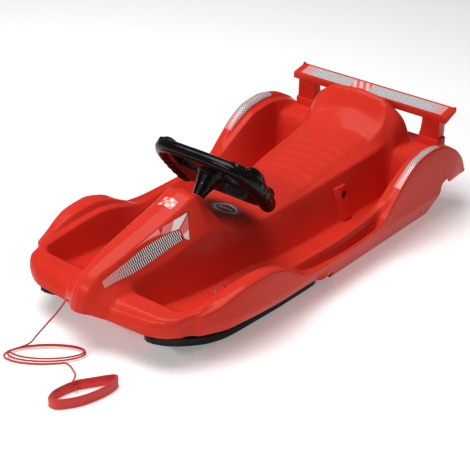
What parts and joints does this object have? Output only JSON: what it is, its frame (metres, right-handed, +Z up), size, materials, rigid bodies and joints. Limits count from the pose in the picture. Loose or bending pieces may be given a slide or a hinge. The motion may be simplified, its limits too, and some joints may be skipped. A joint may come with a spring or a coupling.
{
  "type": "steerable snow sled",
  "caption": "Moulded red snow sled with a padded-look seat, two footwells, a steering wheel that turns two front skis, a rear wing and a pull cord with a hand strap.",
  "frame": {"origin": "on the ground under the middle of the hull's bounding box, between its sides and between nose and tail", "axes": "+Z up, -Y towards the nose (travel), +X towards the rider's left"},
  "size_m": [0.4946, 1.2057, 0.31],
  "materials": {
    "red_plastic": "glossy bright red moulded plastic",
    "black_plastic": "half gloss black moulded plastic",
    "zinc_steel": "zinc plated steel",
    "red_cord": "braided red cord",
    "red_webbing": "woven red webbing"
  },
  "bodies": {
    "chassis": {"hull": "red_plastic", "rear_wing": "red_plastic", "wing_screw_left": "zinc_steel", "wing_screw_right": "zinc_steel", "column_bearing": "black_plastic", "column_bracket": "zinc_steel", "bracket_screw_front_left": "zinc_steel", "bracket_screw_rear_left": "zinc_steel", "bracket_screw_front_right": "zinc_steel", "bracket_screw_rear_right": "zinc_steel", "ski_bolt_left": "zinc_steel", "ski_bolt_right": "zinc_steel", "ski_washer_left": "zinc_steel", "ski_washer_right": "zinc_steel", "ski_nut_left": "zinc_steel", "ski_nut_right": "zinc_steel", "cord_lead": "red_cord", "cord_coil": "red_cord", "cord_tail": "red_cord", "cord_knot": "red_cord", "hand_strap": "red_webbing"},
    "steering": {"steering_wheel": "black_plastic", "wheel_cap": "black_plastic", "wheel_nut": "zinc_steel", "steering_column": "zinc_steel", "steering_crank": "zinc_steel", "crank_screw": "zinc_steel"},
    "link": {"steering_link": "zinc_steel"},
    "left_ski": {"ski_left": "black_plastic", "ski_pin_left": "zinc_steel", "pin_clip_left": "zinc_steel"},
    "right_ski": {"ski_right": "black_plastic", "ski_pin_right": "zinc_steel", "pin_clip_right": "zinc_steel"}
  },
  "joints": [
    {"name": "wheel_turn", "type": "hinge", "parent": "chassis", "child": "steering", "pos_m": [0, -0.118, 0.229], "axis": [0, 0.766, 0.6428], "range_deg": [-20, 20]},
    {"name": "link_slide", "type": "slide", "parent": "chassis", "child": "link", "axis": [1, 0, 0], "range_m": [-0.0127, 0.0127]},
    {"name": "ski_left_turn", "type": "hinge", "parent": "chassis", "child": "left_ski", "pos_m": [0.1535, -0.245, 0.01], "axis": [0, 0, 1], "range_deg": [-12.2, 12.2]},
    {"name": "ski_right_turn", "type": "hinge", "parent": "chassis", "child": "right_ski", "pos_m": [-0.1535, -0.245, 0.01], "axis": [0, 0, 1], "range_deg": [-12.2, 12.2]}
  ],
  "couplings": [
    {"joint": "link_slide", "follows": "wheel_turn", "m_per_rad": -0.0363},
    {"joint": "ski_left_turn", "follows": "wheel_turn", "ratio": 0.608},
    {"joint": "ski_right_turn", "follows": "wheel_turn", "ratio": 0.608}
  ]
}
